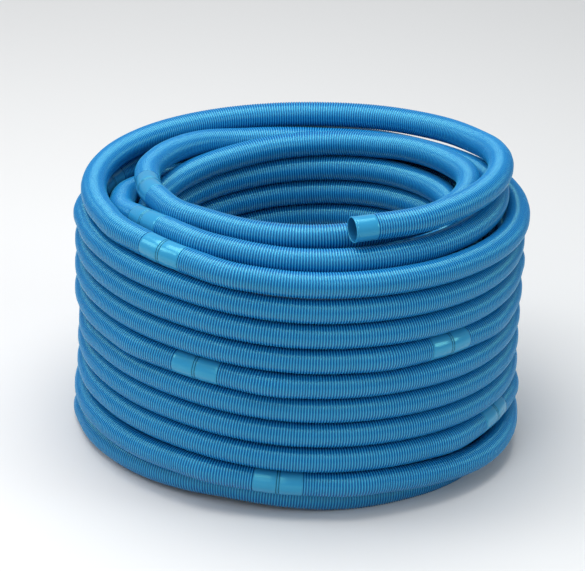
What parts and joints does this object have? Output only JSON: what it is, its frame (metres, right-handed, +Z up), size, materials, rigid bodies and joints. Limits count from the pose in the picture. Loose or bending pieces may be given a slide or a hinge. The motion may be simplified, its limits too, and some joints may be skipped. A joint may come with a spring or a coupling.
{
  "type": "pool vacuum hose",
  "caption": "Corrugated pool vacuum hose lying in one free roll, with smooth double cuffs along its length where it can be cut and a smooth open cuff at each end.",
  "frame": {"origin": "on the floor, under the middle of the roll's footprint", "axes": "+Z up along the roll's axis, -Y towards the front where the free end's open cuff lies, +X to the right seen from the front"},
  "size_m": [0.6282, 0.6248, 0.4266],
  "materials": {
    "hose": "glossy blown polyethylene, blue, closely ribbed",
    "cuff": "smooth glossy polyethylene, lighter blue"
  },
  "bodies": {
    "root": {"end_cuff_top": "cuff", "hose_section_01": "hose", "double_cuff_01": "cuff", "hose_section_02": "hose", "double_cuff_02": "cuff", "hose_section_03": "hose", "double_cuff_03": "cuff", "hose_section_04": "hose", "double_cuff_04": "cuff", "hose_section_05": "hose", "double_cuff_05": "cuff", "hose_section_06": "hose", "double_cuff_06": "cuff", "hose_section_07": "hose", "double_cuff_07": "cuff", "hose_section_08": "hose", "double_cuff_08": "cuff", "hose_section_09": "hose", "double_cuff_09": "cuff", "hose_section_10": "hose", "double_cuff_10": "cuff", "hose_section_11": "hose", "double_cuff_11": "cuff", "hose_section_12": "hose", "double_cuff_12": "cuff", "hose_section_13": "hose", "double_cuff_13": "cuff", "hose_section_14": "hose", "double_cuff_14": "cuff", "hose_section_15": "hose", "double_cuff_15": "cuff", "hose_section_16": "hose", "double_cuff_16": "cuff", "hose_section_17": "hose", "double_cuff_17": "cuff", "hose_section_18": "hose", "double_cuff_18": "cuff", "hose_section_19": "hose", "double_cuff_19": "cuff", "hose_section_20": "hose", "double_cuff_20": "cuff", "hose_section_21": "hose", "double_cuff_21": "cuff", "hose_section_22": "hose", "double_cuff_22": "cuff", "hose_section_23": "hose", "double_cuff_23": "cuff", "hose_section_24": "hose", "double_cuff_24": "cuff", "hose_section_25": "hose", "end_cuff_floor": "cuff"}
  },
  "joints": []
}
